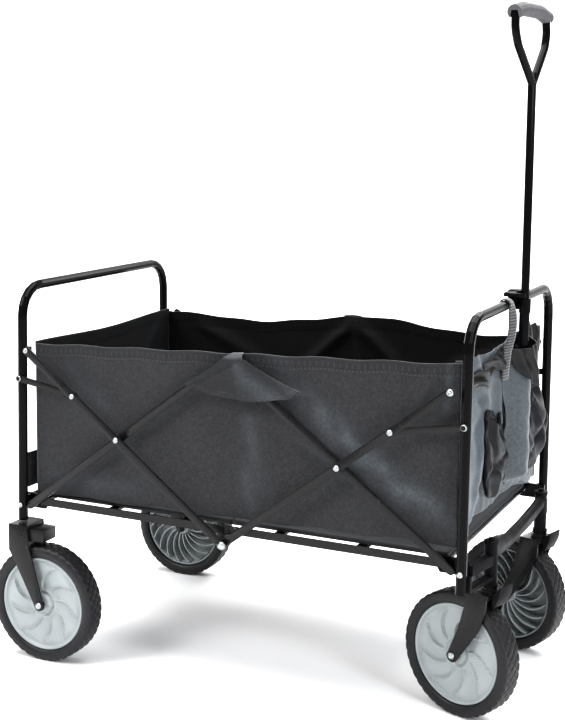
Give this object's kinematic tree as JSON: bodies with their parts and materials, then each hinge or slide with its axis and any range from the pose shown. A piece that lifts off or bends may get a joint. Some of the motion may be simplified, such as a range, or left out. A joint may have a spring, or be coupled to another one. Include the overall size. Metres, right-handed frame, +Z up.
{
  "type": "folding camp wagon",
  "caption": "Folding camp wagon with a charcoal fabric basket on a black tube and scissor frame, spoked-disc wheels, swivelling front casters and a raised telescopic handle.",
  "frame": {"origin": "on the floor, midway between the front and rear legs, on the centre plane", "axes": "+X towards the handle, +Y to the left, +Z up"},
  "size_m": [0.8466, 0.5132, 1.0428],
  "materials": {
    "frame_paint": "gloss black powder coat",
    "bar_paint": "satin black powder coat",
    "tyre": "matt black moulded tyre",
    "hub_plastic": "pale grey moulded plastic",
    "shell_fabric": "charcoal oxford weave",
    "lining_fabric": "near-black lining",
    "webbing": "ribbed grey webbing",
    "grip_foam": "soft grey foam",
    "black_plastic": "black moulded plastic"
  },
  "bodies": {
    "rear_frame": {"rear_u_frame": "frame_paint", "rear_fork_right": "bar_paint", "rear_fork_left": "bar_paint", "rear_panel": "shell_fabric", "rear_wall": "shell_fabric", "side_wall_right": "shell_fabric", "side_wall_left": "shell_fabric"},
    "bar_b": {"bar_b_right": "bar_paint", "bar_b_left": "bar_paint", "hinge_flap_right": "shell_fabric", "hinge_flap_left": "shell_fabric"},
    "bar_a": {"bar_a_right": "bar_paint", "bar_a_left": "bar_paint"},
    "bar_c": {"bar_c_right": "bar_paint", "bar_c_left": "bar_paint"},
    "bar_d": {"bar_d_right": "bar_paint", "bar_d_left": "bar_paint"},
    "front_frame": {"front_u_frame": "frame_paint", "caster_cross_member": "frame_paint", "handle_clip": "black_plastic", "front_wall": "shell_fabric", "front_pocket_right": "lining_fabric", "front_pocket_left": "lining_fabric", "front_strap": "webbing"},
    "link_rear": {"link_rear_right": "bar_paint", "link_rear_left": "bar_paint"},
    "link_front": {"link_front_right": "bar_paint", "link_front_left": "bar_paint"},
    "floor_rear": {"floor_frame_rear": "bar_paint", "floor_pad_rear": "lining_fabric"},
    "floor_front": {"floor_frame_front": "bar_paint", "floor_pad_front": "lining_fabric"},
    "handle": {"handle_outer_tube": "frame_paint", "handle_sleeve": "shell_fabric"},
    "handle_slide": {"handle_inner_tube": "frame_paint", "handle_grip": "grip_foam"},
    "rear_wheel_right": {"rear_tyre_right": "tyre", "rear_hub_right": "hub_plastic"},
    "caster_right": {"caster_fork_right": "bar_paint"},
    "front_wheel_right": {"front_tyre_right": "tyre", "front_hub_right": "hub_plastic"},
    "brake_right": {"brake_pedal_right": "black_plastic"},
    "rear_wheel_left": {"rear_tyre_left": "tyre", "rear_hub_left": "hub_plastic"},
    "caster_left": {"caster_fork_left": "bar_paint"},
    "front_wheel_left": {"front_tyre_left": "tyre", "front_hub_left": "hub_plastic"},
    "brake_left": {"brake_pedal_left": "black_plastic"}
  },
  "joints": [
    {"name": "fold", "type": "hinge", "parent": "rear_frame", "child": "bar_b", "pos_m": [-0.352, 0, 0.2493], "axis": [0, -1, 0], "range_deg": [0, 42], "deforming": ["side_wall_right", "side_wall_left", "floor_pad_rear", "floor_pad_front", "hinge_flap_right", "hinge_flap_left"]},
    {"name": "cross_rear", "type": "hinge", "parent": "bar_b", "child": "bar_a", "pos_m": [-0.1829, 0, 0.3778], "axis": [0, -1, 0], "range_deg": [-84.5, 0]},
    {"name": "top_middle", "type": "hinge", "parent": "bar_b", "child": "bar_c", "pos_m": [0, 0, 0.5168], "axis": [0, -1, 0], "range_deg": [-84.5, 0]},
    {"name": "cross_front", "type": "hinge", "parent": "bar_c", "child": "bar_d", "pos_m": [0.1829, 0, 0.3778], "axis": [0, -1, 0], "range_deg": [0, 84.5]},
    {"name": "front_leg", "type": "hinge", "parent": "bar_c", "child": "front_frame", "pos_m": [0.352, 0, 0.2493], "axis": [0, -1, 0], "range_deg": [0, 42.5]},
    {"name": "link_rear_pivot", "type": "hinge", "parent": "rear_frame", "child": "link_rear", "pos_m": [-0.368, 0, 0.456], "axis": [0, -1, 0], "range_deg": [0, 79.75]},
    {"name": "link_front_pivot", "type": "hinge", "parent": "front_frame", "child": "link_front", "pos_m": [0.368, 0, 0.456], "axis": [0, -1, 0], "range_deg": [-79.75, 0]},
    {"name": "floor_rear_hinge", "type": "hinge", "parent": "rear_frame", "child": "floor_rear", "pos_m": [-0.336, 0, 0.256], "axis": [0, -1, 0], "range_deg": [0, 88.7]},
    {"name": "floor_front_hinge", "type": "hinge", "parent": "front_frame", "child": "floor_front", "pos_m": [0.336, 0, 0.256], "axis": [0, -1, 0], "range_deg": [-88.7, 0]},
    {"name": "rear_axle_right", "type": "hinge", "parent": "rear_frame", "child": "rear_wheel_right", "pos_m": [-0.3216, -0.229, 0.0938], "axis": [0, 1, 0], "continuous": true},
    {"name": "rear_axle_left", "type": "hinge", "parent": "rear_frame", "child": "rear_wheel_left", "pos_m": [-0.3216, 0.229, 0.0938], "axis": [0, 1, 0], "continuous": true},
    {"name": "caster_swivel_right", "type": "hinge", "parent": "front_frame", "child": "caster_right", "pos_m": [0.3857, -0.1425, 0.21], "axis": [0, 0, 1], "continuous": true},
    {"name": "front_axle_right", "type": "hinge", "parent": "caster_right", "child": "front_wheel_right", "pos_m": [0.33997, -0.12604, 0.0938], "axis": [0.3387, 0.9409, 0], "continuous": true},
    {"name": "brake_right", "type": "hinge", "parent": "caster_right", "child": "brake_right", "pos_m": [0.40075, -0.14792, 0.1985], "axis": [0.3387, 0.9409, 0], "range_deg": [0, 22]},
    {"name": "caster_swivel_left", "type": "hinge", "parent": "front_frame", "child": "caster_left", "pos_m": [0.3857, 0.1425, 0.21], "axis": [0, 0, 1], "continuous": true},
    {"name": "front_axle_left", "type": "hinge", "parent": "caster_left", "child": "front_wheel_left", "pos_m": [0.33882, 0.15532, 0.0938], "axis": [0.2639, 0.9646, 0], "continuous": true},
    {"name": "brake_left", "type": "hinge", "parent": "caster_left", "child": "brake_left", "pos_m": [0.40113, 0.13828, 0.1985], "axis": [0.2639, 0.9646, 0], "range_deg": [0, 22]},
    {"name": "handle_tilt", "type": "hinge", "parent": "front_frame", "child": "handle", "pos_m": [0.3856, 0, 0.36], "axis": [0, 1, 0], "range_deg": [0, 65]},
    {"name": "handle_telescope", "type": "slide", "parent": "handle", "child": "handle_slide", "axis": [0, 0, -1], "range_m": [0, 0.19]}
  ],
  "couplings": [
    {"joint": "cross_rear", "follows": "fold", "ratio": -2},
    {"joint": "top_middle", "follows": "fold", "ratio": -2},
    {"joint": "cross_front", "follows": "fold", "ratio": 2},
    {"joint": "front_leg", "follows": "fold", "ratio": 1},
    {"joint": "link_rear_pivot", "follows": "fold", "ratio": 1.887},
    {"joint": "link_front_pivot", "follows": "fold", "ratio": -1.887},
    {"joint": "floor_rear_hinge", "follows": "fold", "ratio": 2.1},
    {"joint": "floor_front_hinge", "follows": "fold", "ratio": -2.1}
  ]
}
